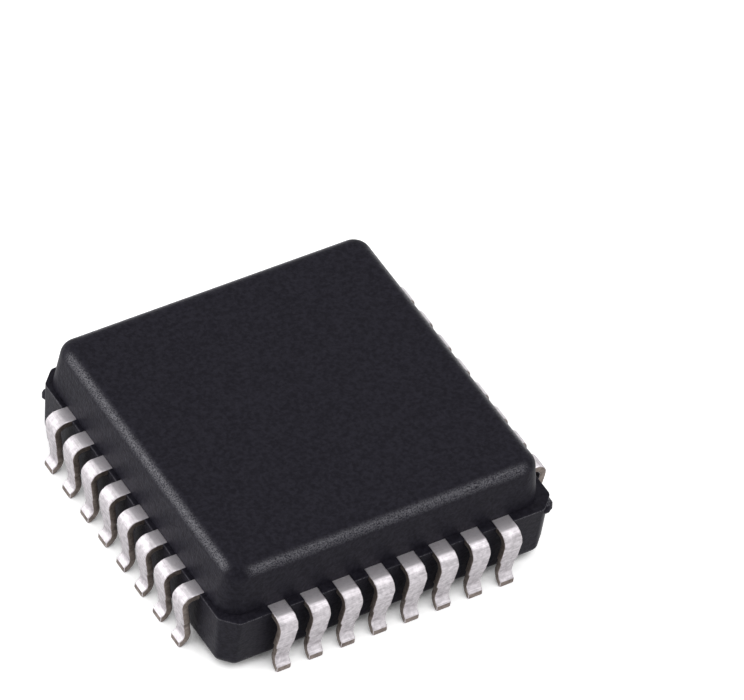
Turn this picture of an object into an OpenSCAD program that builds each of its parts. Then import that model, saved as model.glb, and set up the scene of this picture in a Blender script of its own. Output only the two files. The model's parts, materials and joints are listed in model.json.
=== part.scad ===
// Leaded chip carrier: a moulded square body with a row of formed leads on each side.
// Millimetres. The seat of the feet is z = 0, +Z is up, and the origin is the middle of the seat.

/* [Lead rows] */
// Number of leads on each of the four sides
leads_per_side = 8; // [6:1:12]
// Distance from one lead to the next in a row
pitch = 1.27; // [1:0.01:1.5]
// From the middle of the last lead of a row to the side of the upper half
end_margin = 1.885; // [1.7:0.005:2.4]

/* [Moulding] */
// Clear height under the body
standoff = 0.17; // [0.1:0.01:0.6]
// Height of the lower half, from its underside to the ledge
lower_h = 2.36; // [2:0.01:2.8]
// Height of the upper half, from the ledge to the top face
upper_h = 1.9; // [1.6:0.01:2.6]
// Draft of the upper half's walls, in degrees
upper_draft = 6.5; // [2:0.5:12]
// Draft of the lower half's walls, in degrees
lower_draft = 2.5; // [0:0.5:8]
// Mean width of the ledge round the foot of the upper half
ledge_w = 0.26; // [0.2:0.01:0.4]
// Radius of the rounded edge round the top face
top_edge_r = 0.5; // [0.2:0.01:0.7]
// Radius of the corners of the flat top face
top_corner_r = 0.16; // [0.05:0.01:0.6]
// Cut across each upright corner of the lower half
corner_cut = 0.55; // [0.3:0.01:0.7]
// Radius of the edge round the underside
under_edge_r = 0.42; // [0.1:0.01:0.6]
// How far the upper half sits off the lower half, along each row, away from the gate
mould_shift = 0.08; // [0:0.01:0.15]

/* [Mould marks] */
// Radius of the gate stub on one corner of the lower half
gate_r = 0.42; // [0.32:0.01:0.6]
// Height of the gate stub
gate_h = 0.4; // [0.2:0.01:0.6]
// How far the gate stub stands out of the corner
gate_proud = 0.2; // [0.1:0.01:0.3]
// Radius of the smaller vent stub on the opposite corner
vent_r = 0.24; // [0.22:0.01:0.4]
// Height of the vent stub
vent_h = 0.4; // [0.2:0.01:0.42]
// How far the vent stub stands out of the corner
vent_proud = 0.2; // [0.05:0.01:0.22]
// From the ledge down to the middle of the vent stub
vent_drop = 0.9; // [0.6:0.01:1.3]
// Diameter of the round ejector mark in the underside
eject_d = 3.6; // [2:0.1:5]
// Depth of the ejector mark
eject_depth = 0.08; // [0.03:0.01:0.2]

/* [Leads] */
// Thickness of the lead frame's sheet
lead_t = 0.27; // [0.2:0.01:0.35]
// Width of a lead where it leaves the body
lead_w = 0.7; // [0.5:0.01:0.8]
// How much narrower the foot is on each side
neck_in = 0.065; // [0.02:0.005:0.12]
// Height of the narrowing above the seat
neck_h = 1.08; // [0.8:0.01:1.4]
// Height over which the lead narrows
neck_run = 0.12; // [0.05:0.01:0.3]
// How far past the ledge a lead runs before its shoulder bend starts
bend_out = 0.21; // [0.08:0.01:0.4]
// Inner radius of the shoulder bend
shoulder_r = 0.18; // [0.15:0.01:0.35]
// How far the leg leans back under the body, in degrees
leg_lean = 10; // [0:0.5:12]
// Radius in the hollow of the foot bend
foot_r = 0.32; // [0.15:0.01:0.45]
// How far the foot turns outward from the leg, in degrees
foot_turn = 64; // [52:1:80]
// Straight length of the foot's upper face
toe_run = 0.06; // [0.02:0.01:0.15]
// Height of the toe's cut end above the seat
toe_h = 0.25; // [0.18:0.01:0.3]

/* [Inside the moulding] */
// Length of a lead's finger inside the moulding
finger_l = 2.82; // [2.2:0.01:3.2]
// Width of a finger at its tip
tip_w = 0.45; // [0.3:0.01:0.5]
// Gap between the finger tips and the die paddle
tip_gap = 0.35; // [0.2:0.01:0.6]
// Width of the tie bars that carried the paddle during moulding
tie_w = 0.3; // [0.2:0.01:0.4]
// Gap between a tie bar and the fingers beside it
tie_gap = 0.12; // [0.08:0.01:0.2]
// Moulding left over the outer end of a tie bar
tie_cover = 0.35; // [0.2:0.01:0.8]
// How far the paddle lies below the fingers
downset = 0.25; // [0.1:0.01:0.4]
// Length over which a tie bar steps down to the paddle
downset_run = 0.5; // [0.3:0.01:0.8]
// Border of the paddle round the die
die_border = 1.1; // [0.6:0.01:1.2]
// Thickness of the die
die_t = 0.4; // [0.2:0.01:0.5]
// Thickness of the adhesive under the die
attach_t = 0.04; // [0.02:0.01:0.08]
// How far the adhesive spreads past the die
attach_rim = 0.1; // [0.03:0.01:0.3]

/* [Bond wires] */
// Diameter of a bond wire
wire_d = 0.05; // [0.04:0.005:0.06]
// Height of the wire loops above the die
loop_h = 0.2; // [0.12:0.01:0.3]
// Diameter of the neck where a wire rises from its ball
neck_d = 0.065; // [0.062:0.001:0.08]
// Diameter of the ball and of the stitch at the ends of a wire
bond_d = 0.11; // [0.1:0.005:0.15]
// Height of the ball on the die
ball_h = 0.03; // [0.02:0.005:0.05]
// From the die's edge to the middle of its row of pads
pad_inset = 0.15; // [0.1:0.01:0.3]
// From the die's corner to the first pad of a row
pad_corner = 0.45; // [0.3:0.01:0.6]
// From a finger's tip to its stitch
stitch_inset = 0.25; // [0.15:0.01:0.5]

/* [Hidden] */
// Fineness of the true curves, and the number of flats along a rounded outline
curve_fn = 48;
arc_steps = 12;

lead_count = 4 * leads_per_side;
row_middle = (leads_per_side - 1) / 2;
upper_half = row_middle * pitch + end_margin;
lower_half = upper_half + ledge_w;
ledge_z = standoff + lower_h;
frame_base = ledge_z - lead_t;

// Upper half: radius of its upright corners at the ledge
fillet_reach = top_edge_r / cos(upper_draft);
draft_run = (upper_h - top_edge_r) * tan(upper_draft);
base_corner_r = top_corner_r + fillet_reach + draft_run;
corner_reach = (upper_half - base_corner_r) * sqrt(2) + base_corner_r;

// Lower half: from the middle to the flat of a cut corner
facet_reach = (2 * lower_half - corner_cut) / sqrt(2);

// Lead, seen from its side: places along the outward and upward directions from the seat
shoulder_outer_r = shoulder_r + lead_t;
bend_x = lower_half + bend_out;
foot_slope = foot_turn - leg_lean;
leg_top = [
    bend_x + shoulder_outer_r * cos(leg_lean),
    ledge_z - shoulder_outer_r * (1 + sin(leg_lean))
];
foot_step = [
    foot_r * (cos(leg_lean) - cos(foot_slope)) + toe_run * sin(foot_slope),
    foot_r * (sin(leg_lean) + sin(foot_slope)) + toe_run * cos(foot_slope)
];
leg_run = (leg_top[1] - foot_step[1] - toe_h) / cos(leg_lean);
leg_end = leg_top - leg_run * [sin(leg_lean), cos(leg_lean)];
toe_x = leg_end[0] + foot_step[0];
foot_centre = leg_end + foot_r * [cos(leg_lean), -sin(leg_lean)];
foot_w = lead_w - 2 * neck_in;

// Fingers: they run straight in, then close up towards the paddle and clear the tie bars
tie_clear = (tie_w / 2 + tie_gap) * sqrt(2);
root_l = end_margin - lead_w / 2 - tie_clear;
root_y = upper_half - root_l;
tip_y = upper_half - finger_l;
tip_pitch = (2 * (tip_y - tie_clear) - tip_w) / (leads_per_side - 1);

// Paddle, adhesive and die, stacked below the level of the fingers
paddle_half = tip_y - tip_gap;
paddle_top = ledge_z - downset;
die_half = paddle_half - die_border;
die_base = paddle_top + attach_t;
die_top = die_base + die_t;
pad_pitch = 2 * (die_half - pad_corner) / (leads_per_side - 1);
tie_reach = corner_reach - tie_cover - mould_shift * sqrt(2);
tie_root = paddle_half * sqrt(2) - tie_w / 2;

// Names run anticlockwise, seen from above, from the left end of the front row
function lead_name(i) = str("lead_", i < 9 ? "0" : "", i + 1);
function arc(centre, r, from, to) = [
    for (k = [0 : arc_steps])
        let (a = from + (to - from) * k / arc_steps)
        centre + r * [cos(a), sin(a)]
];
function place_in_row(i) = i % leads_per_side - row_middle;

// Turns what is drawn for the front side to the side that lead i is on
module on_side(i) {
    rotate([0, 0, 90 * floor(i / leads_per_side)]) children();
}

// Block centred on the Z axis
module plate(half, z, thick) {
    translate([-half, -half, z]) cube([2 * half, 2 * half, thick]);
}

// Round rod between two points
module rod(from, to, d) {
    run = to - from;
    length = norm(run);
    translate(from)
        rotate([0, acos(run[2] / length), atan2(run[1], run[0])])
            cylinder(h = length, d = d, $fn = curve_fn);
}

// One corner of the upper half: drafted wall below, rounded edge above
module corner_post() {
    rotate_extrude($fn = curve_fn)
        polygon(concat(
            [[0, 0], [base_corner_r, 0]],
            arc([top_corner_r, upper_h - top_edge_r], top_edge_r, upper_draft, 90),
            [[0, upper_h]]
        ));
}

module upper_half_block() {
    corner = upper_half - base_corner_r;
    translate([-mould_shift, mould_shift, ledge_z])
        hull()
            for (x = [-corner, corner], y = [-corner, corner])
                translate([x, y, 0]) corner_post();
}

// Bar with the lower half's drafted and rounded section, running the full width
module lower_half_bar(half) {
    foot = half - lower_h * tan(lower_draft);
    centre = [foot + under_edge_r * (tan(lower_draft) - 1 / cos(lower_draft)), under_edge_r];
    edge = arc(centre, under_edge_r, -90, -lower_draft);
    side = concat(edge, [[half, lower_h]]);
    far_side = [for (k = [len(side) - 1 : -1 : 0]) [-side[k][0], side[k][1]]];
    rotate([90, 0, 0])
        linear_extrude(height = 4 * lower_half, center = true)
            polygon(concat(side, far_side));
}

module lower_half_block() {
    translate([0, 0, standoff])
        intersection() {
            lower_half_bar(lower_half);
            rotate([0, 0, 90]) lower_half_bar(lower_half);
            rotate([0, 0, 45]) lower_half_bar(facet_reach);
            rotate([0, 0, 135]) lower_half_bar(facet_reach);
        }
}

// Round-edged stub on a cut corner of the lower half; drop is from the ledge to its middle
module corner_stub(turn, r, h, proud, drop) {
    facet = facet_reach - drop * tan(lower_draft);
    rim_r = h / 2;
    rotate([0, 0, turn])
        translate([facet + proud - r, 0, ledge_z - drop - rim_r])
            rotate_extrude($fn = curve_fn)
                polygon(concat(
                    [[0, 0]],
                    arc([r - rim_r, rim_r], rim_r, -90, 90),
                    [[0, h]]
                ));
}

// Stub left where the moulding compound came in, on the right front corner
module gate_stub() {
    corner_stub(-45, gate_r, gate_h, gate_proud, gate_h / 2);
}

// Stub left where the air went out, on the left rear corner
module vent_stub() {
    corner_stub(135, vent_r, vent_h, vent_proud, vent_drop);
}

module ejector_mark() {
    translate([0, 0, standoff])
        cylinder(h = eject_depth, d = eject_d, $fn = curve_fn);
}

// Straight part of a lead: the finger, and the root that lies in the lower half's rim, level with the ledge
module lead_core(i) {
    x = place_in_row(i) * pitch;
    tip_x = place_in_row(i) * tip_pitch;
    on_side(i)
        translate([0, 0, frame_base])
            linear_extrude(height = lead_t)
                polygon([
                    [x - lead_w / 2, -bend_x],
                    [x - lead_w / 2, -root_y],
                    [tip_x - tip_w / 2, -tip_y],
                    [tip_x + tip_w / 2, -tip_y],
                    [x + lead_w / 2, -root_y],
                    [x + lead_w / 2, -bend_x]
                ]);
}

// Side view of the formed lead from its root to its toe, with its sole cut level
module lead_side() {
    shoulder = [bend_x, ledge_z - shoulder_outer_r];
    outer = concat(
        [[root_y, ledge_z]],
        arc(shoulder, shoulder_outer_r, 90, -leg_lean),
        arc(foot_centre, foot_r, 180 - leg_lean, 180 + foot_slope),
        [[toe_x, toe_h]]
    );
    heel = foot_centre + (foot_r + lead_t) * [-cos(foot_slope), -sin(foot_slope)];
    inner = concat(
        [[heel[0] + heel[1] * tan(foot_slope), 0]],
        arc(foot_centre, foot_r + lead_t, 180 + foot_slope, 180 - leg_lean),
        arc(shoulder, shoulder_r, -leg_lean, 90),
        [[root_y, frame_base]]
    );
    polygon(concat(outer, [[toe_x, 0]], inner));
}

// Front view of a lead: full width above, narrower from the neck to the toe
module lead_front() {
    polygon([
        [-foot_w / 2, 0],
        [foot_w / 2, 0],
        [foot_w / 2, neck_h],
        [lead_w / 2, neck_h + neck_run],
        [lead_w / 2, ledge_z],
        [-lead_w / 2, ledge_z],
        [-lead_w / 2, neck_h + neck_run],
        [-foot_w / 2, neck_h]
    ]);
}

module formed_lead() {
    intersection() {
        rotate([90, 0, -90])
            linear_extrude(height = lead_w, center = true) lead_side();
        rotate([90, 0, 0])
            linear_extrude(height = 2 * toe_x) lead_front();
    }
}

module lead(i) {
    color("silver") {
        lead_core(i);
        on_side(i)
            translate([place_in_row(i) * pitch, 0, 0]) formed_lead();
    }
}

// Tie bar from the paddle's corner, stepped up to the level of the fingers
module tie_bar() {
    step_end = tie_root + downset_run;
    rotate([90, 0, 0])
        linear_extrude(height = tie_w, center = true)
            polygon([
                [0, paddle_top - lead_t],
                [tie_root, paddle_top - lead_t],
                [step_end, frame_base],
                [tie_reach, frame_base],
                [tie_reach, ledge_z],
                [step_end, ledge_z],
                [tie_root, paddle_top],
                [0, paddle_top]
            ]);
}

module die_paddle() {
    color("peru") {
        plate(paddle_half, paddle_top - lead_t, lead_t);
        for (corner = [0 : 3])
            rotate([0, 0, 45 + 90 * corner]) tie_bar();
    }
}

module die_attach() {
    color("lightgray") plate(die_half + attach_rim, paddle_top, attach_t);
}

module silicon_die() {
    color("slategray") plate(die_half, die_base, die_t);
}

// Wire from a pad near the die's edge, up over its loop and down to a finger's tip
module bond_wire(i) {
    pad = [place_in_row(i) * pad_pitch, pad_inset - die_half, die_top];
    stitch = [place_in_row(i) * tip_pitch, -tip_y - stitch_inset, ledge_z];
    loop_top = pad + [0, 0, loop_h];
    on_side(i) {
        translate(pad) cylinder(h = ball_h, d = bond_d, $fn = curve_fn);
        translate(pad) cylinder(h = loop_h + neck_d / 2, d = neck_d, $fn = curve_fn);
        rod(loop_top, stitch + [0, 0, wire_d / 2], wire_d);
        translate(stitch) cylinder(h = wire_d, d = bond_d, $fn = curve_fn);
    }
}

module bond_wires() {
    color("gold")
        for (i = [0 : lead_count - 1]) bond_wire(i);
}

// The outside of the moulding, with its stubs and the ejector mark
module moulded_block() {
    difference() {
        union() {
            upper_half_block();
            lower_half_block();
            gate_stub();
            vent_stub();
        }
        ejector_mark();
    }
}

// The moulding fills every space round the fingers, the paddle, the die and the wires
module body() {
    color("#26252a")
        difference() {
            moulded_block();
            for (i = [0 : lead_count - 1]) lead_core(i);
            die_paddle();
            die_attach();
            silicon_die();
            bond_wires();
        }
}

body();
die_paddle();
die_attach();
silicon_die();
bond_wires();
for (i = [0 : lead_count - 1])
    lead(i);
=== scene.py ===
# %% [markdown]
# # A leaded chip carrier
# The object is a small square package: a black moulding with a row of formed, tin-plated leads on each side.
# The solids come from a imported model, which is loaded here as a fixed frame. This lesson then models the
# moulding and the leads again with softer edges and real finishes, and lights them as in a small studio.

# %% Load the frame
import json
import math

import bmesh
import bpy
from mathutils import Matrix, Vector, noise

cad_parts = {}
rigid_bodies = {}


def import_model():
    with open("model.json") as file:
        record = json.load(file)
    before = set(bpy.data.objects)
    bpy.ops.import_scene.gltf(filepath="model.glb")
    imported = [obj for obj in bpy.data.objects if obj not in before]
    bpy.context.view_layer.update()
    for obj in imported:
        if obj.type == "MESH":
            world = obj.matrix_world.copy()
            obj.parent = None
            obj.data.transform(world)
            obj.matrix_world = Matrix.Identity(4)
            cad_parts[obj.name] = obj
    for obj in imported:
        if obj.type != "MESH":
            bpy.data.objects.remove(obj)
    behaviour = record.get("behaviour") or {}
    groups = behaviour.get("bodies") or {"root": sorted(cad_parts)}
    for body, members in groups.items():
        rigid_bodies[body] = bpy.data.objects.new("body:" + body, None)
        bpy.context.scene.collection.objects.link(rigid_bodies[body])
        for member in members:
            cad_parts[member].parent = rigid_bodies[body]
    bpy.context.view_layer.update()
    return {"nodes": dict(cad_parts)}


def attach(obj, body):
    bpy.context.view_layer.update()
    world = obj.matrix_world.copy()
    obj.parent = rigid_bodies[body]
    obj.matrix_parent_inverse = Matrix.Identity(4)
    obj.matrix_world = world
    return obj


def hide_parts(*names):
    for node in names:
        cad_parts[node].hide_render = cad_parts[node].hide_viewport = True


MM = 0.001
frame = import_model()

# %% [markdown]
# ## The sizes
# A maker draws such a part in millimetres, while Blender counts in metres. All shapes below are therefore
# modelled in millimetres, and each finished mesh is scaled down once, when it is turned into an object.
# The values are those of the solids, so the new pieces lie exactly where the solids are.
# UPPER_HALF and LOWER_HALF are half the width of the body above and below its ledge.

# %% The sizes of the part, in millimetres
LEADS_PER_SIDE = 8
PITCH = 1.27
ROW_MIDDLE = (LEADS_PER_SIDE - 1) / 2
UPPER_HALF = 6.33
LEDGE_W = 0.26
LOWER_HALF = UPPER_HALF + LEDGE_W
STANDOFF = 0.17
LEDGE_Z = 2.53
TOP_Z = 4.43
MOULD_SHIFT = 0.08
print("body", 2 * LOWER_HALF, "mm square,", TOP_Z, "mm high; ledge at", LEDGE_Z)


# %% [markdown]
# ## From a bmesh to a piece
# Every piece ends in the same way: its faces are shaded smooth except across sharp edges, its mesh is scaled
# to metres, and the object is tied to the body of the frame. A helper keeps those steps in one place.
# Sharp edges are found by angle, because a bevel that is finer than a pixel still needs a crisp border.

# %% Helpers that finish a piece
SHARP_ANGLE = math.radians(32)


def new_object(name, data):
    """An object with that data, linked into the scene."""
    made = bpy.data.objects.new(name, data)
    bpy.context.scene.collection.objects.link(made)
    return made


def mesh_object(bm, name):
    """Turns a bmesh into an object as it is, and frees the bmesh."""
    mesh = bpy.data.meshes.new(name)
    bm.to_mesh(mesh)
    bm.free()
    return new_object(name, mesh)


def soften(bm):
    """Shades all faces smooth, and keeps an edge crisp where its two faces meet at a clear angle."""
    for face in bm.faces:
        face.smooth = True
    for edge in bm.edges:
        edge.smooth = len(edge.link_faces) == 2 and edge.calc_face_angle() < SHARP_ANGLE


def finish_piece(bm, name, materials):
    """Turns a bmesh in millimetres into an object in metres that rides on the frame."""
    soften(bm)
    bmesh.ops.scale(bm, vec=(MM, MM, MM), verts=bm.verts)
    piece = mesh_object(bm, name)
    for material in materials:
        piece.data.materials.append(material)
    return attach(piece, "root")


def count_open(bm):
    """How many edges don't have exactly two faces; a closed mesh has none."""
    return sum(1 for edge in bm.edges if len(edge.link_faces) != 2)


print("pieces are shaded crisp above", round(math.degrees(SHARP_ANGLE)), "degrees")


# %% [markdown]
# ## Nodes in plain words
# A finish is a net of small nodes. Wiring each one by hand hides what the net is for, so a few helpers put a
# name to the steps that come back: set or link an input, join two numbers, blend, and read a place.

# %% Node helpers
COLOUR_INPUTS, COLOUR_OUT = (0, 6, 7), 2
NUMBER_INPUTS, NUMBER_OUT = (0, 2, 3), 0


def add(tree, kind, **properties):
    """Adds a node to a node tree and sets its properties."""
    node = tree.nodes.new(kind)
    for key, value in properties.items():
        setattr(node, key, value)
    return node


def plug(tree, value, socket):
    """Links another socket to an input, or sets the input to a plain value."""
    if isinstance(value, bpy.types.NodeSocket):
        tree.links.new(value, socket)
    else:
        socket.default_value = value


def set_inputs(tree, node, **values):
    """Sets or links inputs by name; an underscore stands for a space."""
    for key, value in values.items():
        plug(tree, value, node.inputs[key.replace("_", " ")])
    return node


def combine(tree, operation, *terms, clamp=False):
    """Joins numbers with one Math node; each term is a socket or a plain number."""
    joined = add(tree, "ShaderNodeMath", operation=operation, use_clamp=clamp)
    for term, socket in zip(terms, joined.inputs):
        plug(tree, term, socket)
    return joined.outputs[0]


def blend_numbers(tree, mask, low, high):
    """Goes from one number to another with a mask."""
    node = add(tree, "ShaderNodeMix", data_type="FLOAT")
    for value, place in zip((mask, low, high), NUMBER_INPUTS):
        plug(tree, value, node.inputs[place])
    return node.outputs[NUMBER_OUT]


def blend_colours(tree, mask, dark, light):
    """Goes from one colour to another with a mask."""
    node = add(tree, "ShaderNodeMix", data_type="RGBA")
    for value, place in zip((mask, dark, light), COLOUR_INPUTS):
        plug(tree, value, node.inputs[place])
    return node.outputs[COLOUR_OUT]


def object_place(tree):
    """The place on the piece, in metres from the middle of the seat."""
    return add(tree, "ShaderNodeTexCoord").outputs["Object"]


print("node helpers ready")

# %% [markdown]
# ## Shared effects: grain and mottle
# Moulding compound, tin plate and bare metal all show two things: a fine grain that breaks up highlights, and
# a broad mottle where the finish is uneven. Each could be drawn again in every material. A node group is
# built once instead and is placed in each material with its own sizes. It reads Object coordinates, so the
# pattern stays on the piece and has a real size in metres.

# %% The two node groups
BROAD_SCALE = 0.37
NOISE_MIDDLE = 0.5


def new_group(name, inputs, output):
    """A shader node group with named number inputs and one output, and its two end nodes."""
    group = bpy.data.node_groups.new(name, "ShaderNodeTree")
    for label, value in inputs:
        socket = group.interface.new_socket(label, in_out="INPUT", socket_type="NodeSocketFloat")
        socket.default_value = value
    group.interface.new_socket(output, in_out="OUTPUT", socket_type="NodeSocketFloat")
    return group, add(group, "NodeGroupInput"), add(group, "NodeGroupOutput")


def noise_at(tree, place, scale, **values):
    """A noise texture at a place, with a scale in patches per metre."""
    texture = add(tree, "ShaderNodeTexNoise")
    return set_inputs(tree, texture, Vector=place, Scale=scale, **values).outputs["Fac"]


def grain_group():
    """Fine grain: a noise of the given size and a broader one, blended into one height."""
    group, start, end = new_group("fine_grain", [("Size", 0.0001), ("Coarse", 0.5)], "Height")
    place = object_place(group)
    scale = combine(group, "DIVIDE", 1.0, start.outputs["Size"])
    broad_scale = combine(group, "MULTIPLY", scale, BROAD_SCALE)
    fine = noise_at(group, place, scale, Detail=2.0, Roughness=0.6)
    broad = noise_at(group, place, broad_scale, Detail=1.0, Roughness=0.5)
    set_inputs(group, end, Height=blend_numbers(group, start.outputs["Coarse"], fine, broad))
    return group


def mottle_group():
    """Broad uneven patches between 0 and 1; Contrast pulls them apart."""
    group, start, end = new_group("mottle", [("Size", 0.001), ("Contrast", 2.0)], "Mask")
    scale = combine(group, "DIVIDE", 1.0, start.outputs["Size"])
    patches = noise_at(group, object_place(group), scale, Detail=4.0, Roughness=0.62, Distortion=0.3)
    centred = combine(group, "SUBTRACT", patches, NOISE_MIDDLE)
    mask = combine(group, "MULTIPLY_ADD", centred, start.outputs["Contrast"], NOISE_MIDDLE, clamp=True)
    set_inputs(group, end, Mask=mask)
    return group


FINE_GRAIN = grain_group()
MOTTLE = mottle_group()
print("node groups:", FINE_GRAIN.name, MOTTLE.name)


# %% Helpers that start a material
def new_material(name, **shader_inputs):
    """A material with one Principled shader; returns the material, its node tree and the shader."""
    material = bpy.data.materials.new(name)
    material.use_nodes = True
    tree = material.node_tree
    shader = set_inputs(tree, tree.nodes["Principled BSDF"], **shader_inputs)
    return material, tree, shader


def use_group(tree, group, **values):
    """Places a node group in a material, with its own values, and returns its one output."""
    return set_inputs(tree, add(tree, "ShaderNodeGroup", node_tree=group), **values).outputs[0]


def spread(tree, mask, low, high):
    """Stretches a mask between 0 and 1 over a range of values."""
    span = add(tree, "ShaderNodeMapRange")
    return set_inputs(tree, span, Value=mask, To_Min=low, To_Max=high).outputs["Result"]


def relief(tree, shader, height, distance, strength):
    """Gives the shader a bump from a height."""
    bump = add(tree, "ShaderNodeBump")
    set_inputs(tree, bump, Height=height, Distance=distance, Strength=strength)
    set_inputs(tree, shader, Normal=bump.outputs["Normal"])


print("material helpers ready")

# %% [markdown]
# ## The moulding compound
# The body is a filled black resin pressed in a steel tool. The tool's wall is spark-eroded, so the surface
# carries a very fine grain. The flat faces are evenly dark. Along the rounded top edge a painted highlight
# lies as tiny paler points that fade out towards the corners, and a finer line of them runs along the rim. A
# finer bump would need far more samples to show those points. A mask is used instead: it follows the height
# and the distance from the corners, and gives the edges a thin coat and a paler colour, broken into dots,
# which is a painted highlight.

# %% Bands and corners of the coat and the painted highlight, in metres
TOP_EDGE_BAND = (0.00401, 0.00428, 0.00430, 0.004425)
RIM_BAND = (0.00246, 0.00250, 0.002515, 0.002528)
RIM_SHARE = 0.6
CORNER_FADE = (0.0052, 0.0057)


def off_middle(tree):
    """Distances of a place from the middle along X and Y, and its height as Z."""
    size = add(tree, "ShaderNodeVectorMath", operation="ABSOLUTE")
    plug(tree, object_place(tree), size.inputs[0])
    parts = add(tree, "ShaderNodeSeparateXYZ")
    return set_inputs(tree, parts, Vector=size.outputs["Vector"]).outputs


def smooth_range(tree, value, start, stop, low, high):
    """A number that goes softly from low to high while the value goes from start to stop."""
    span = add(tree, "ShaderNodeMapRange", interpolation_type="SMOOTHSTEP")
    set_inputs(tree, span, Value=value, From_Min=start, From_Max=stop, To_Min=low, To_Max=high)
    return span.outputs["Result"]


def height_band(tree, z, foot, low, high, head):
    """A mask that rises with the height from foot to low and falls from high to head."""
    rising = smooth_range(tree, z, foot, low, 0.0, 1.0)
    falling = smooth_range(tree, z, high, head, 1.0, 0.0)
    return combine(tree, "MULTIPLY", rising, falling)


print("band of the top edge", TOP_EDGE_BAND, "and of the rim", RIM_BAND)

# %% The moulding compound
RESIN_DARK = (0.0100, 0.0092, 0.0140, 1)
RESIN_LIGHT = (0.0212, 0.0200, 0.0282, 1)
# The paler colour of the painted highlight on the top edge and the rim.
PAINTED_HIGHLIGHT_COLOUR = (0.088, 0.085, 0.104, 1)

moulding, tree, shader = new_material("moulding_compound", Roughness=0.5, Specular_IOR_Level=0.09)
set_inputs(tree, shader, Specular_Tint=(0.95, 0.92, 1.0, 1), Coat_IOR=1.65, Coat_Roughness=0.45)
place = off_middle(tree)
along_side = combine(tree, "MINIMUM", place["X"], place["Y"])
off_corner = smooth_range(tree, along_side, *CORNER_FADE, 1.0, 0.0)
top_edge = combine(tree, "MULTIPLY", height_band(tree, place["Z"], *TOP_EDGE_BAND), off_corner)
rim_edge = combine(tree, "MULTIPLY", height_band(tree, place["Z"], *RIM_BAND), RIM_SHARE)
edge = combine(tree, "MAXIMUM", top_edge, rim_edge)
sparkle = use_group(tree, MOTTLE, Size=0.00004, Contrast=5.5)
# The coat is a real finish; the paler colour that goes with it is a painted highlight, faded out towards the
# corners.
coat_and_painted_highlight = combine(tree, "MULTIPLY", edge, sparkle)
speckle = use_group(tree, MOTTLE, Size=0.00016, Contrast=4.0)
resin = blend_colours(tree, speckle, RESIN_DARK, RESIN_LIGHT)
set_inputs(tree, shader, Base_Color=blend_colours(tree, coat_and_painted_highlight, resin, PAINTED_HIGHLIGHT_COLOUR), Coat_Weight=coat_and_painted_highlight)
grain = use_group(tree, FINE_GRAIN, Size=0.00009, Coarse=0.35)
relief(tree, shader, grain, distance=0.00003, strength=0.8)
print("made", moulding.name)

# %% [markdown]
# ## Tin plate and sheared edges
# The leads are punched from a copper alloy sheet that is plated with satin tin. The forming tool burnished
# the shoulders and the feet and left fine lines across. The top facet, the shoulders and the feet are
# coloured lighter than the legs between them: partly for that burnish, partly as a painted highlight.
# The punched edges are rougher and browner, because the shear tears through plate and metal alike; their dark
# colour is also painted shade, for the dark body and the neighbouring leads they face.
# Two materials on one piece show that difference without any extra geometry.

# %% Lines across a formed strip, and brightness by height
SIDEWAYS_SHARE = 0.08
LINE_LENGTH = 0.00005


def across_lines(tree, place):
    """Fine lines across the leads: noise along the way from the body over the shoulder down to the toe."""
    outward = combine(tree, "MAXIMUM", place["X"], place["Y"])
    sideways = combine(tree, "MINIMUM", place["X"], place["Y"])
    path = add(tree, "ShaderNodeCombineXYZ")
    set_inputs(tree, path, X=combine(tree, "SUBTRACT", outward, place["Z"]))
    set_inputs(tree, path, Y=combine(tree, "MULTIPLY", sideways, SIDEWAYS_SHARE))
    lines = noise_at(tree, path.outputs["Vector"], 1 / LINE_LENGTH, Detail=2.0)
    return combine(tree, "SUBTRACT", lines, NOISE_MIDDLE)


def by_height(tree, place, stops):
    """A value that follows the height above the seat, through pairs of a height in mm and a value."""
    ramp = add(tree, "ShaderNodeValToRGB")
    elements = ramp.color_ramp.elements
    for z, value in stops[1:-1]:
        elements.new(z / LEDGE_Z).color = (value, value, value, 1)
    for element, (z, value) in ((elements[0], stops[0]), (elements[-1], stops[-1])):
        element.position = z / LEDGE_Z
        element.color = (value, value, value, 1)
    set_inputs(tree, ramp, Fac=combine(tree, "DIVIDE", place["Z"], LEDGE_Z * MM))
    return ramp.outputs["Color"]


print("lines", LINE_LENGTH, "m apart and brightness by height ready")

# %% Tin plate
# Brightness by height in mm: partly the burnish of the bends, partly a painted highlight on the top facet,
# the shoulders and the feet, with the legs left darker.
BURNISH_AND_PAINTED_HIGHLIGHT = (
    (0.0, 0.56), (0.38, 0.54), (0.62, 0.37), (1.2, 0.33), (1.6, 0.37),
    (2.2, 0.44), (2.42, 0.5), (2.5, 0.62), (2.526, 1.0),
)
UNEVEN = 0.17
LINE_SHARE = 0.5
TIN_DULL = (0.19, 0.175, 0.186, 1)
TIN_BRIGHT = (0.93, 0.885, 0.92, 1)

tin_plate, tree, shader = new_material("tin_plate", Metallic=1.0)
place = off_middle(tree)
patches = use_group(tree, MOTTLE, Size=0.00016, Contrast=2.4)
# The painted highlight by height, the burnish and random patches, then the forming lines, make the tin
# lighter or darker.
burnish_and_painted_light = combine(tree, "ADD", by_height(tree, place, BURNISH_AND_PAINTED_HIGHLIGHT), spread(tree, patches, -UNEVEN, UNEVEN))
wear_and_painted_light = combine(tree, "MULTIPLY_ADD", across_lines(tree, place), LINE_SHARE, burnish_and_painted_light, clamp=True)
set_inputs(tree, shader, Base_Color=blend_colours(tree, wear_and_painted_light, TIN_DULL, TIN_BRIGHT))
set_inputs(tree, shader, Roughness=spread(tree, wear_and_painted_light, 0.54, 0.4))
grain = use_group(tree, FINE_GRAIN, Size=0.00006, Coarse=0.6)
relief(tree, shader, grain, distance=0.00001, strength=0.35)
print("made", tin_plate.name)

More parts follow.
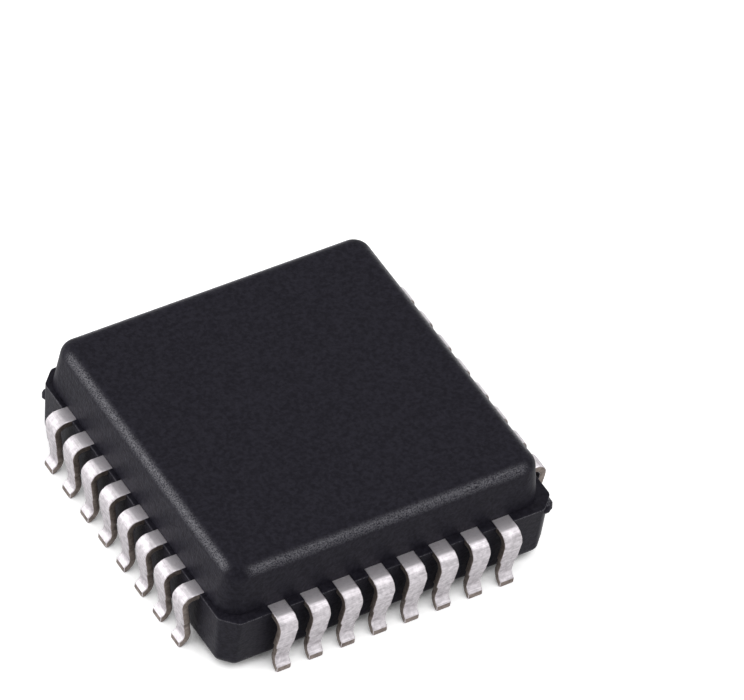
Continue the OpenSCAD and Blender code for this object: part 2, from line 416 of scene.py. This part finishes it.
# %% Sheared edges
# Brownish colours of torn metal, darkened further as painted shade.
SHEARED_SHADED_DARK = (0.13, 0.105, 0.092, 1)
SHEARED_SHADED_LIGHT = (0.30, 0.255, 0.23, 1)

sheared_edge, tree, shader = new_material("sheared_edge", Metallic=0.85)
patches = use_group(tree, MOTTLE, Size=0.00022, Contrast=2.6)
set_inputs(tree, shader, Base_Color=blend_colours(tree, patches, SHEARED_SHADED_DARK, SHEARED_SHADED_LIGHT))
set_inputs(tree, shader, Roughness=spread(tree, patches, 0.62, 0.48))
grain = use_group(tree, FINE_GRAIN, Size=0.00008, Coarse=0.5)
relief(tree, shader, grain, distance=0.00003, strength=0.6)
print("made", sheared_edge.name)

# %% [markdown]
# ## The pieces sealed inside
# The paddle, the adhesive, the die and the bond wires are closed in by the moulding. They keep the meshes of
# the solids, and each gets a finish of its own, so that the model is still right when it is cut open.
# Each line below gives a material, how metallic it is, a dark and a light colour, a roughness and the size of
# its patches in metres. The grain is a quarter as large as the patches, and its relief a tenth as deep.

# %% Finishes of the sealed pieces
INNER_FINISHES = {
    "die_paddle": ("bare_copper_alloy", 1.0, (0.62, 0.34, 0.22, 1), (0.78, 0.47, 0.32, 1), 0.38, 0.0002),
    "die_attach": ("silver_filled_adhesive", 0.0, (0.46, 0.46, 0.47, 1), (0.62, 0.62, 0.63, 1), 0.55, 0.0001),
    "silicon_die": ("polished_silicon", 0.7, (0.17, 0.18, 0.22, 1), (0.24, 0.25, 0.29, 1), 0.16, 0.0006),
    "bond_wires": ("drawn_gold_wire", 1.0, (0.86, 0.62, 0.24, 1), (0.95, 0.74, 0.34, 1), 0.25, 0.00005),
}
ROUGH_SPREAD = 0.06
for node_name, (label, metallic, dark, light, rough, size) in INNER_FINISHES.items():
    finish, tree, shader = new_material(label, Metallic=metallic)
    patches = use_group(tree, MOTTLE, Size=size, Contrast=1.8)
    set_inputs(tree, shader, Base_Color=blend_colours(tree, patches, dark, light))
    set_inputs(tree, shader, Roughness=spread(tree, patches, rough + ROUGH_SPREAD, rough - ROUGH_SPREAD))
    grain = use_group(tree, FINE_GRAIN, Size=size / 4, Coarse=0.5)
    relief(tree, shader, grain, distance=size / 10, strength=0.2)
    solid = frame["nodes"][node_name]
    solid.data.materials.clear()
    solid.data.materials.append(finish)
    print(node_name, "wears", label)

# %% [markdown]
# ## The moulded body: upper half
# The body could be a cube with bevels, but its upper half has drafted walls and a large rounded edge whose
# corners are tight at the top and wide at the foot. Insetting one rounded face again and again gives exactly
# that: every inset moves the outline in and up a little, and the corner radius shrinks with it.

# %% Steps that carry a face along a wall and over an edge
SUPPORT = 0.05
EDGE_STEPS = 12


def corner_rounded_face(bm, half, size, steps):
    """One square face, with its corners rounded in several steps or cut off in one."""
    square = bmesh.ops.create_grid(bm, x_segments=1, y_segments=1, size=half)
    bmesh.ops.bevel(bm, geom=square["verts"], offset=size, segments=steps, profile=0.5, affect="VERTICES",
                    offset_type="OFFSET", material=-1)
    return bm.faces[:][0]


def step_in(bm, face, inward, along):
    """Moves a face inward and along its normal, and leaves a band of faces behind it."""
    bmesh.ops.inset_region(bm, faces=[face], use_boundary=True, use_even_offset=True,
                           thickness=inward, depth=along)


def drafted_wall(bm, face, inward, height):
    """Carries a face along a wall that leans in, with a narrow band at each end to hold the shading."""
    step_in(bm, face, inward * SUPPORT / height, SUPPORT)
    step_in(bm, face, inward * (1 - 2 * SUPPORT / height), height - 2 * SUPPORT)
    step_in(bm, face, inward * SUPPORT / height, SUPPORT)


def round_over(bm, face, radius, from_angle):
    """Carries a face round an edge, from a wall that leans in by from_angle to flat, and frames the flat."""
    angles = [from_angle + (math.pi / 2 - from_angle) * k / EDGE_STEPS for k in range(EDGE_STEPS + 1)]
    for a, b in zip(angles, angles[1:]):
        step_in(bm, face, radius * (math.cos(a) - math.cos(b)), radius * (math.sin(b) - math.sin(a)))
    step_in(bm, face, SUPPORT, 0)


print("a rounded edge takes", EDGE_STEPS, "insets")

# %% Upper half
UPPER_DRAFT = math.radians(6.5)
TOP_EDGE_R = 0.5
TOP_CORNER_R = 0.16
CORNER_STEPS = 12

upper_h = TOP_Z - LEDGE_Z
wall_h = upper_h - TOP_EDGE_R * (1 - math.sin(UPPER_DRAFT))
wall_in = (upper_h - TOP_EDGE_R) * math.tan(UPPER_DRAFT)
wall_in += TOP_EDGE_R * (1 / math.cos(UPPER_DRAFT) - math.cos(UPPER_DRAFT))
base_corner_r = TOP_CORNER_R + TOP_EDGE_R * math.cos(UPPER_DRAFT) + wall_in
body_bm = bmesh.new()
top_face = corner_rounded_face(body_bm, UPPER_HALF, base_corner_r, CORNER_STEPS)
drafted_wall(body_bm, top_face, wall_in, wall_h)
round_over(body_bm, top_face, TOP_EDGE_R, UPPER_DRAFT)
flat_top = 2 * max(v.co.x for v in top_face.verts)
bmesh.ops.translate(body_bm, vec=(-MOULD_SHIFT, MOULD_SHIFT, 0), verts=body_bm.verts)
print("upper half:", len(body_bm.faces), "faces, flat top", round(flat_top, 3), "mm")

# %% [markdown]
# ## The moulded body: lower half and ledge
# The lower half is a square with its corners cut off, drafted the other way and rounded underneath. It starts
# as a second face at the height of the ledge, turned over, so that the same insets now lead downward. The
# ledge is the flat ring between the two outlines: bridging the two open loops closes it.

# %% Lower half
LOWER_DRAFT = math.radians(2.5)
CORNER_CUT = 0.55
CUT_EDGE_R = 0.1
UNDER_EDGE_R = 0.42
UPRIGHT_ANGLE = 0.2

under_bm = bmesh.new()
under_face = corner_rounded_face(under_bm, LOWER_HALF, CORNER_CUT, 1)
bmesh.ops.reverse_faces(under_bm, faces=[under_face])
lower_h = LEDGE_Z - STANDOFF
side_h = lower_h - UNDER_EDGE_R * (1 - math.sin(LOWER_DRAFT))
drafted_wall(under_bm, under_face, side_h * math.tan(LOWER_DRAFT), side_h)
round_over(under_bm, under_face, UNDER_EDGE_R, LOWER_DRAFT)
uprights = [e for e in under_bm.edges if len(e.link_faces) == 2 and e.calc_face_angle() > UPRIGHT_ANGLE
            and abs(e.verts[0].co.z - e.verts[1].co.z) > e.calc_length() / 2]
bmesh.ops.bevel(under_bm, geom=uprights, offset=CUT_EDGE_R, segments=4, profile=0.5, affect="EDGES",
                offset_type="OFFSET", clamp_overlap=True, material=-1)
print("lower half:", len(under_bm.faces), "faces,", len(uprights), "upright edges rounded")

# %% Ejector mark in the underside
EJECT_R = 1.8
EJECT_DEPTH = 0.08
EJECT_SLOPE = 0.03

under_face = max(under_bm.faces, key=lambda f: f.calc_area())
bmesh.ops.delete(under_bm, geom=[under_face], context="FACES_ONLY")
mark = bmesh.ops.create_circle(under_bm, cap_ends=True, segments=48, radius=EJECT_R,
                               matrix=Matrix.Translation((0, 0, -lower_h)))
mark_face = mark["verts"][0].link_faces[0]
if mark_face.normal.z > 0:
    bmesh.ops.reverse_faces(under_bm, faces=[mark_face])
step_in(under_bm, mark_face, EJECT_SLOPE, -EJECT_DEPTH)
under_rims = [e for e in under_bm.edges if e.is_boundary and e.verts[0].co.z < -lower_h / 2]
bmesh.ops.bridge_loops(under_bm, edges=under_rims)
print("underside closed, mark", 2 * EJECT_R, "mm across")

# %% Ledge
RIM_R = 0.03
RIM_DEPTH = 0.1
RIM_ANGLE = 1
LEVEL = 1e-6

half_mesh = bpy.data.meshes.new("lower_half_draft")
under_bm.to_mesh(half_mesh)
under_bm.free()
body_bm.from_mesh(half_mesh)
bpy.data.meshes.remove(half_mesh)
bmesh.ops.bridge_loops(body_bm, edges=[e for e in body_bm.edges if e.is_boundary])
bmesh.ops.recalc_face_normals(body_bm, faces=body_bm.faces)
outer = {v for v in body_bm.verts
         if abs(v.co.z) < LEVEL and max(abs(v.co.x), abs(v.co.y)) > LOWER_HALF - RIM_DEPTH}
rim = [e for e in body_bm.edges if outer.issuperset(e.verts) and e.calc_face_angle() > RIM_ANGLE]
bmesh.ops.bevel(body_bm, geom=rim, offset=RIM_R, segments=3, profile=0.5, affect="EDGES",
                offset_type="OFFSET", material=-1)
bmesh.ops.translate(body_bm, vec=(0, 0, LEDGE_Z), verts=body_bm.verts)
print("body:", len(body_bm.faces), "faces,", count_open(body_bm), "open edges")

# %% [markdown]
# ## Stubs and slots
# Where the resin ran into the tool and where the air left it, a small broken stub stays on two opposite
# corners. Each lead lies in a slot of the lower half's rim. Stubs and slots are easier to add and cut with
# Boolean modifiers than to model into the outline, and applying them leaves one closed mesh.

# %% Stubs on two corners
FACET_REACH = (2 * LOWER_HALF - CORNER_CUT) / math.sqrt(2)
STUB_STEPS = 24
ROUND_STEPS = 8
BREAKS_PER_MM = 6
JOIN = 1e-5


def corner_stub(bm, turn, r, h, proud, drop, roughness, seed):
    """A round-edged disc, spun from half its outline, standing out of a cut corner with a broken face."""
    rim_r = h / 2
    middle = FACET_REACH - drop * math.tan(LOWER_DRAFT) + proud - r
    outline = [bm.verts.new((0, 0, -rim_r))]
    for k in range(ROUND_STEPS + 1):
        a = math.radians(-90 + 180 * k / ROUND_STEPS)
        outline.append(bm.verts.new((r - rim_r + rim_r * math.cos(a), 0, rim_r * math.sin(a))))
    outline.append(bm.verts.new((0, 0, rim_r)))
    strip = [bm.edges.new(pair) for pair in zip(outline, outline[1:])]
    bmesh.ops.spin(bm, geom=outline + strip, cent=(0, 0, 0), axis=(0, 0, 1), angle=2 * math.pi,
                   steps=STUB_STEPS, use_merge=True)
    bmesh.ops.remove_doubles(bm, verts=[v for v in bm.verts if not v.tag], dist=JOIN)
    verts = [v for v in bm.verts if not v.tag]
    noise.seed_set(seed)
    for v in verts:
        v.co += roughness * noise.noise_vector(v.co * BREAKS_PER_MM + Vector((seed, 0, 0)))
        v.tag = True
    bmesh.ops.translate(bm, vec=(middle, 0, LEDGE_Z - drop), verts=verts)
    bmesh.ops.rotate(bm, cent=(0, 0, 0), matrix=Matrix.Rotation(math.radians(turn), 3, "Z"), verts=verts)


stub_bm = bmesh.new()
corner_stub(stub_bm, turn=-45, r=0.42, h=0.4, proud=0.2, drop=0.21, roughness=0.05, seed=6)
corner_stub(stub_bm, turn=135, r=0.24, h=0.4, proud=0.2, drop=0.9, roughness=0.03, seed=7)
bmesh.ops.recalc_face_normals(stub_bm, faces=stub_bm.faces)
print("stubs:", len(stub_bm.faces), "faces")

# %% Slots for the leads
LEAD_T = 0.27
LEAD_W = 0.7
SLOT_PLAY = 0.004
SLOT_RUN = 0.6
SLOT_RISE = 0.3
FRAME_BASE = LEDGE_Z - LEAD_T

slot_bm = bmesh.new()
slot_size = (LEAD_W + 2 * SLOT_PLAY, SLOT_RUN, LEAD_T + SLOT_RISE)
slot_middle_z = FRAME_BASE - SLOT_PLAY + slot_size[2] / 2
for side, wall_shift in enumerate((-MOULD_SHIFT, -MOULD_SHIFT, MOULD_SHIFT, MOULD_SHIFT)):
    turn = Matrix.Rotation(side * math.pi / 2, 4, "Z")
    slot_middle_y = -(UPPER_HALF + wall_shift + SLOT_PLAY + slot_size[1] / 2)
    for place in range(LEADS_PER_SIDE):
        centre = Vector(((place - ROW_MIDDLE) * PITCH, slot_middle_y, slot_middle_z))
        block = turn @ Matrix.Translation(centre) @ Matrix.Diagonal((*slot_size, 1))
        bmesh.ops.create_cube(slot_bm, size=1, matrix=block)
print("slots:", len(slot_bm.faces) // 6)

# %% Join the stubs, cut the slots and finish the body
MERGE = 5e-4

raw_body = mesh_object(body_bm, "raw_body")
tools = [
    (mesh_object(stub_bm, "stub_tool"), "UNION"),
    (mesh_object(slot_bm, "slot_tool"), "DIFFERENCE"),
]
for tool, action in tools:
    cut = raw_body.modifiers.new(tool.name, "BOOLEAN")
    cut.object = tool
    cut.operation = action
    cut.solver = "EXACT"
cut_mesh = bpy.data.meshes.new_from_object(raw_body.evaluated_get(bpy.context.evaluated_depsgraph_get()))
body_bm = bmesh.new()
body_bm.from_mesh(cut_mesh)
bpy.data.meshes.remove(cut_mesh)
for scrap in [raw_body] + [tool for tool, action in tools]:
    bpy.data.objects.remove(scrap)
bmesh.ops.remove_doubles(body_bm, verts=body_bm.verts, dist=MERGE)
bmesh.ops.dissolve_degenerate(body_bm, dist=MERGE, edges=body_bm.edges)
body_open = count_open(body_bm)
body = finish_piece(body_bm, "moulded_body", [moulding])
shade = body.modifiers.new("even_shading", "WEIGHTED_NORMAL")
shade.keep_sharp = True
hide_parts("body")
print("moulded body:", len(body.data.polygons), "faces,", body_open, "open edges")

# %% [markdown]
# ## One lead
# A lead is a strip of sheet that was punched flat and then bent. It is modelled in the same order: a section
# is extruded along the finger, spun round the shoulder bend, extruded down the leg, spun the other way round
# the foot and trimmed by two cutting planes. Sculpting it from a box would lose the constant thickness.

# %% Sizes of a lead
NECK_IN = 0.065
NECK_H = 1.08
NECK_RUN = 0.12
SHOULDER_R = 0.18
LEG_LEAN = math.radians(10)
FOOT_R = 0.32
FOOT_TURN = math.radians(64)
TOE_RUN = 0.06
TOE_H = 0.25
BEND_OUT = 0.21
BEND_X = LOWER_HALF + BEND_OUT
shoulder_outer_r = SHOULDER_R + LEAD_T
foot_slope = FOOT_TURN - LEG_LEAN
leg_top_z = LEDGE_Z - shoulder_outer_r * (1 + math.sin(LEG_LEAN))
foot_drop = FOOT_R * (math.sin(LEG_LEAN) + math.sin(foot_slope)) + TOE_RUN * math.cos(foot_slope)
leg_run = (leg_top_z - foot_drop - TOE_H) / math.cos(LEG_LEAN)
leg_end_x = BEND_X + shoulder_outer_r * math.cos(LEG_LEAN) - leg_run * math.sin(LEG_LEAN)
leg_end_z = leg_top_z - leg_run * math.cos(LEG_LEAN)
toe_x = leg_end_x + FOOT_R * (math.cos(LEG_LEAN) - math.cos(foot_slope)) + TOE_RUN * math.sin(foot_slope)
print("lead: leg", round(leg_run, 3), "mm, toe", round(toe_x, 3), "mm from the middle")

# %% Sizes of the finger inside the moulding
FINGER_L = 2.82
TIP_W = 0.45
END_MARGIN = 1.885
TIE_W = 0.3
TIE_GAP = 0.12
tie_clear = (TIE_W / 2 + TIE_GAP) * math.sqrt(2)
root_y = UPPER_HALF - (END_MARGIN - LEAD_W / 2 - tie_clear)
tip_y = UPPER_HALF - FINGER_L
tip_pitch = (2 * (tip_y - tie_clear) - TIP_W) / (LEADS_PER_SIDE - 1)
print("finger tips", round(tip_pitch, 3), "mm apart")


# %% Steps that form a strip
LEVEL_CUT = 1e-6


def whole_face(face):
    """A face with its edges and corners, as the extruding steps want it."""
    return [face, *face.edges, *face.verts]


def end_face(found):
    """The one face among the elements that an operator returned."""
    return next(g for g in found if isinstance(g, bmesh.types.BMFace))


def run_on(bm, face, move, width_scale=1.0):
    """Extrudes the strip's end face, moves it on and scales its width."""
    face = end_face(bmesh.ops.extrude_face_region(bm, geom=whole_face(face))["geom"])
    bmesh.ops.translate(bm, vec=move, verts=face.verts)
    middle = face.calc_center_median()
    bmesh.ops.scale(bm, vec=(width_scale, 1, 1), space=Matrix.Translation(-middle), verts=face.verts)
    return face


def bend(bm, face, out, z, angle, steps):
    """Spins the strip's end face round a line along the row, at a place given as outward and upward."""
    turned = bmesh.ops.spin(bm, geom=whole_face(face), cent=(0, -out, z), axis=(1, 0, 0),
                            angle=angle, steps=steps)
    return end_face(turned["geom_last"])


def trim(bm, point, normal):
    """Cuts away what lies beyond a plane, on the part of the strip below its neck, and closes the cut."""
    low = {v for v in bm.verts if v.co.z < NECK_H}
    edges = [e for e in bm.edges if low.issuperset(e.verts)]
    faces = [f for f in bm.faces if low.issuperset(f.verts)]
    bmesh.ops.bisect_plane(bm, geom=[*low, *edges, *faces], plane_co=point, plane_no=normal,
                           clear_outer=True, dist=LEVEL_CUT)
    bmesh.ops.holes_fill(bm, edges=[e for e in bm.edges if e.is_boundary])


print("strip steps ready")

# %% Form one lead
SHOULDER_STEPS = 12
FOOT_STEPS = 10
LEG_STEP = 0.1
HELD_IN = 0.2
RUN_OVER = 2 * LEAD_T


def form_finger(bm, place):
    """The flat finger, from its tip to the start of the shoulder bend; returns its end face."""
    corners = ((-1, FRAME_BASE), (1, FRAME_BASE), (1, LEDGE_Z), (-1, LEDGE_Z))
    tip = [bm.verts.new((place * tip_pitch + side * TIP_W / 2, -tip_y, z)) for side, z in corners]
    fan = place * PITCH - place * tip_pitch
    face = run_on(bm, bm.faces.new(tip), (fan, tip_y - root_y, 0), LEAD_W / TIP_W)
    for stop in (UPPER_HALF - HELD_IN, UPPER_HALF, (UPPER_HALF + BEND_X) / 2, BEND_X):
        face = run_on(bm, face, (0, -stop - face.calc_center_median().y, 0))
    return face


def form_leg(bm, face):
    """The leg with its neck, in short lengths, down to the start of the foot; returns its end face."""
    above = (leg_top_z - NECK_H - NECK_RUN) / math.cos(LEG_LEAN)
    below = leg_run - above - NECK_RUN
    down = Vector((0, math.sin(LEG_LEAN), -math.cos(LEG_LEAN)))
    narrow = 1 - 2 * NECK_IN / LEAD_W
    for length, scale in ((above, 1), (NECK_RUN, narrow), (below, 1)):
        steps = max(1, round(length / LEG_STEP))
        for k in range(steps):
            width = 1 + (scale - 1) * k / steps
            next_width = 1 + (scale - 1) * (k + 1) / steps
            face = run_on(bm, face, down * length / steps, next_width / width)
    return face


def form_lead(place):
    """A whole lead at a place of the front row, counted from the middle, in millimetres."""
    bm = bmesh.new()
    face = form_finger(bm, place)
    face = bend(bm, face, BEND_X, LEDGE_Z - shoulder_outer_r, math.pi / 2 + LEG_LEAN, SHOULDER_STEPS)
    face = form_leg(bm, face)
    foot_out = leg_end_x + FOOT_R * math.cos(LEG_LEAN)
    foot_z = leg_end_z - FOOT_R * math.sin(LEG_LEAN)
    face = bend(bm, face, foot_out, foot_z, -FOOT_TURN, FOOT_STEPS)
    toe_way = Vector((0, -math.sin(foot_slope), -math.cos(foot_slope)))
    run_on(bm, face, toe_way * (TOE_RUN + RUN_OVER))
    trim(bm, (0, 0, 0), (0, 0, -1))
    trim(bm, (0, -toe_x, 0), (0, -1, 0))
    bmesh.ops.remove_doubles(bm, verts=bm.verts, dist=JOIN)
    bmesh.ops.recalc_face_normals(bm, faces=bm.faces)
    return bm


print("a lead is formed in", SHOULDER_STEPS, "steps round its shoulder and", FOOT_STEPS, "round its foot")

# %% [markdown]
# ## Edges and rows
# A punched strip is never perfectly straight: its edges are softly rounded and waver by about a hundredth of
# a millimetre. The edges are bevelled first. Then a seeded noise pushes the two sides in and out along the
# length, with a different seed for each lead, so that the 32 leads look alike but not copied. One row is
# formed four times and turned to its side.

# %% Soften the edges and split the finishes
EDGE_R = 0.045
EDGE_ANGLE = 0.6
SOFT_FROM = UPPER_HALF - 0.25
WAVER = 0.014
WAVER_LENGTH = 0.16
LEAD_SEED = 7.3
SIDE_SEED = 20
SIDE_FACING = 0.8
END_FACING = 0.9


def soften_edges(bm, x, index):
    """Rounds the strip's edges, then lets its two sides waver along the length."""
    sharp = [e for e in bm.edges if len(e.link_faces) == 2 and e.calc_face_angle() > EDGE_ANGLE
             and min(-v.co.y for v in e.verts) > SOFT_FROM]
    bmesh.ops.bevel(bm, geom=sharp, offset=EDGE_R, segments=3, profile=0.5, affect="EDGES",
                    offset_type="OFFSET", clamp_overlap=True, material=-1)
    for v in bm.verts:
        across = v.co.x - x
        along = -v.co.y - v.co.z
        if -v.co.y > BEND_X and abs(across) > LEAD_W / 4:
            side_seed = math.copysign(SIDE_SEED, across) + v.co.z
            wave = noise.noise(Vector((along / WAVER_LENGTH, LEAD_SEED * index, side_seed)))
            v.co.x += math.copysign(WAVER, across) * wave


def split_finishes(bm):
    """Gives the punched sides and the cut toe end the second material."""
    for f in bm.faces:
        toe_end = f.normal.y < -END_FACING and f.calc_center_median().z < TOE_H
        f.material_index = 1 if abs(f.normal.x) > SIDE_FACING or toe_end else 0


print("edges rounded by", EDGE_R, "mm, wavering by", WAVER, "mm")

# %% All the leads
leads = []
for index in range(4 * LEADS_PER_SIDE):
    place = index % LEADS_PER_SIDE - ROW_MIDDLE
    lead_bm = form_lead(place)
    soften_edges(lead_bm, place * PITCH, index)
    bmesh.ops.recalc_face_normals(lead_bm, faces=lead_bm.faces)
    split_finishes(lead_bm)
    lead_open = count_open(lead_bm)
    turn = Matrix.Rotation((index // LEADS_PER_SIDE) * math.pi / 2, 3, "Z")
    bmesh.ops.rotate(lead_bm, cent=(0, 0, 0), matrix=turn, verts=lead_bm.verts)
    node_name = f"lead_{index + 1:02d}"
    lead = finish_piece(lead_bm, f"formed_{node_name}", [tin_plate, sheared_edge])
    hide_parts(node_name)
    leads.append(lead)
print("leads:", len(leads), "with", len(leads[0].data.polygons), "faces in the first one;",
      lead_open, "open edges in the last one")

# %% [markdown]
# ## Camera
# The picture is less than three centimetres wide, and its lines hardly converge. A photographer would stand
# back with a long lens, and the camera here does the same, from almost thirty centimetres away. Its place and
# its two axes come from matching the rows of leads to their known spacing.

# %% Camera
IMAGE_W = 744
FOCAL_PX = 8000
SENSOR_MM = 36
CAMERA_PLACE = Vector((-109.052, -154.59, 202.836))
CAMERA_LOOK = Vector((0.40737, 0.5636, -0.71861))
CAMERA_RIGHT = Vector((0.85775, -0.50628, 0.08917))

camera_data = bpy.data.cameras.new("camera")
camera_data.sensor_width = SENSOR_MM
camera_data.lens = FOCAL_PX / IMAGE_W * SENSOR_MM
camera_data.clip_start = 0.05
camera_data.clip_end = 5
camera = new_object("camera", camera_data)
look = CAMERA_LOOK.normalized()
right = (CAMERA_RIGHT - CAMERA_RIGHT.dot(look) * look).normalized()
up = right.cross(look)
axes = Matrix((right, up, -look)).transposed().to_4x4()
camera.matrix_world = Matrix.Translation(CAMERA_PLACE * MM) @ axes
bpy.context.scene.camera = camera
print("camera lens", round(camera_data.lens, 1), "mm")

# %% [markdown]
# ## Floor and light
# The part lies on a white sweep under soft lamps. The floor is a plain pale plane that keeps the shadow. Its
# open parts are lifted to white for rays that look at the background, so the lamps can stay at a plain level.
# Close to the part the lift fades, which leaves the shadow under the leads and the body.


# %% Which rays see the bright background
def background_ray(tree):
    """A mask that is 1 for rays that look at the background: straight, mirrored or through clear matter."""
    path = add(tree, "ShaderNodeLightPath")
    mask = path.outputs["Is Camera Ray"]
    for kind in ("Is Glossy Ray", "Is Transmission Ray"):
        mask = combine(tree, "MAXIMUM", mask, path.outputs[kind])
    return mask


print("background rays: camera, glossy, transmission")

# %% Floor
FLOOR_HALF = 1.5
FLOOR_DROP = 0.00001
SHADOW_REACH = 0.0009
SHADOW_FADE = (0.2, 0.55)
FLOOR_LIFT = 0.7
WHITE = (1, 1, 1, 1)

floor_bm = bmesh.new()
bmesh.ops.create_grid(floor_bm, x_segments=1, y_segments=1, size=FLOOR_HALF)
bmesh.ops.translate(floor_bm, vec=(0, 0, -FLOOR_DROP), verts=floor_bm.verts)
floor = mesh_object(floor_bm, "floor")
paper, tree, shader = new_material("white_sweep", Roughness=0.9, Specular_IOR_Level=0.1)
set_inputs(tree, shader, Base_Color=(0.82, 0.82, 0.82, 1), Emission_Color=WHITE)
nearby = set_inputs(tree, add(tree, "ShaderNodeAmbientOcclusion", samples=8), Distance=SHADOW_REACH)
open_floor = smooth_range(tree, nearby.outputs["AO"], *SHADOW_FADE, 0.0, FLOOR_LIFT)
lift = combine(tree, "MULTIPLY", open_floor, background_ray(tree))
set_inputs(tree, shader, Emission_Strength=lift)
floor.data.materials.append(paper)
print("floor", [round(s, 2) for s in floor.dimensions])

# %% [markdown]
# The world round the studio is bright near the horizon and a little dimmer overhead, where the black body
# would mirror too much of it. Rays that only carry soft light see one low, even level.

# %% World
DOME_RISE = (0.15, 0.65)
DOME_LEVELS = (1.0, 0.72)
FILL_LEVEL = 0.32

world = bpy.data.worlds.new("studio")
bpy.context.scene.world = world
world.use_nodes = True
tree = world.node_tree
heading = add(tree, "ShaderNodeTexCoord")
rise = set_inputs(tree, add(tree, "ShaderNodeSeparateXYZ"), Vector=heading.outputs["Generated"])
dome = smooth_range(tree, rise.outputs["Z"], *DOME_RISE, *DOME_LEVELS)
level = blend_numbers(tree, background_ray(tree), FILL_LEVEL, dome)
set_inputs(tree, tree.nodes["Background"], Color=WHITE, Strength=level)
print("world from", DOME_LEVELS[0], "at the horizon to", DOME_LEVELS[1], "overhead")

# %% Lamps
LAMP_TARGET = Vector((0, 0, 0.002))


def softbox(name, direction, distance, width, height, power):
    """A rectangular lamp at a distance from the part, turned towards it; metres and watts."""
    data = bpy.data.lights.new(name, "AREA")
    data.shape = "RECTANGLE"
    data.size = width
    data.size_y = height
    data.energy = power
    lamp = new_object(name, data)
    aim = Vector(direction).normalized()
    turn = aim.to_track_quat("Z", "Y").to_matrix().to_4x4()
    lamp.matrix_world = Matrix.Translation(LAMP_TARGET + aim * distance) @ turn
    return lamp


lamps = [
    softbox("side_lamp", (-0.76, 0.5, 0.415), distance=0.5, width=0.7, height=0.6, power=2.05),
    softbox("overhead_lamp", (0.405, -0.36, 0.84), distance=0.6, width=0.55, height=0.55, power=1.25),
]
print("lamps:", [lamp.name for lamp in lamps])

# %% [markdown]
# ## Colour view
# The colours are shown as they are, without a film look.

bpy.context.scene.view_settings.view_transform = "Standard"
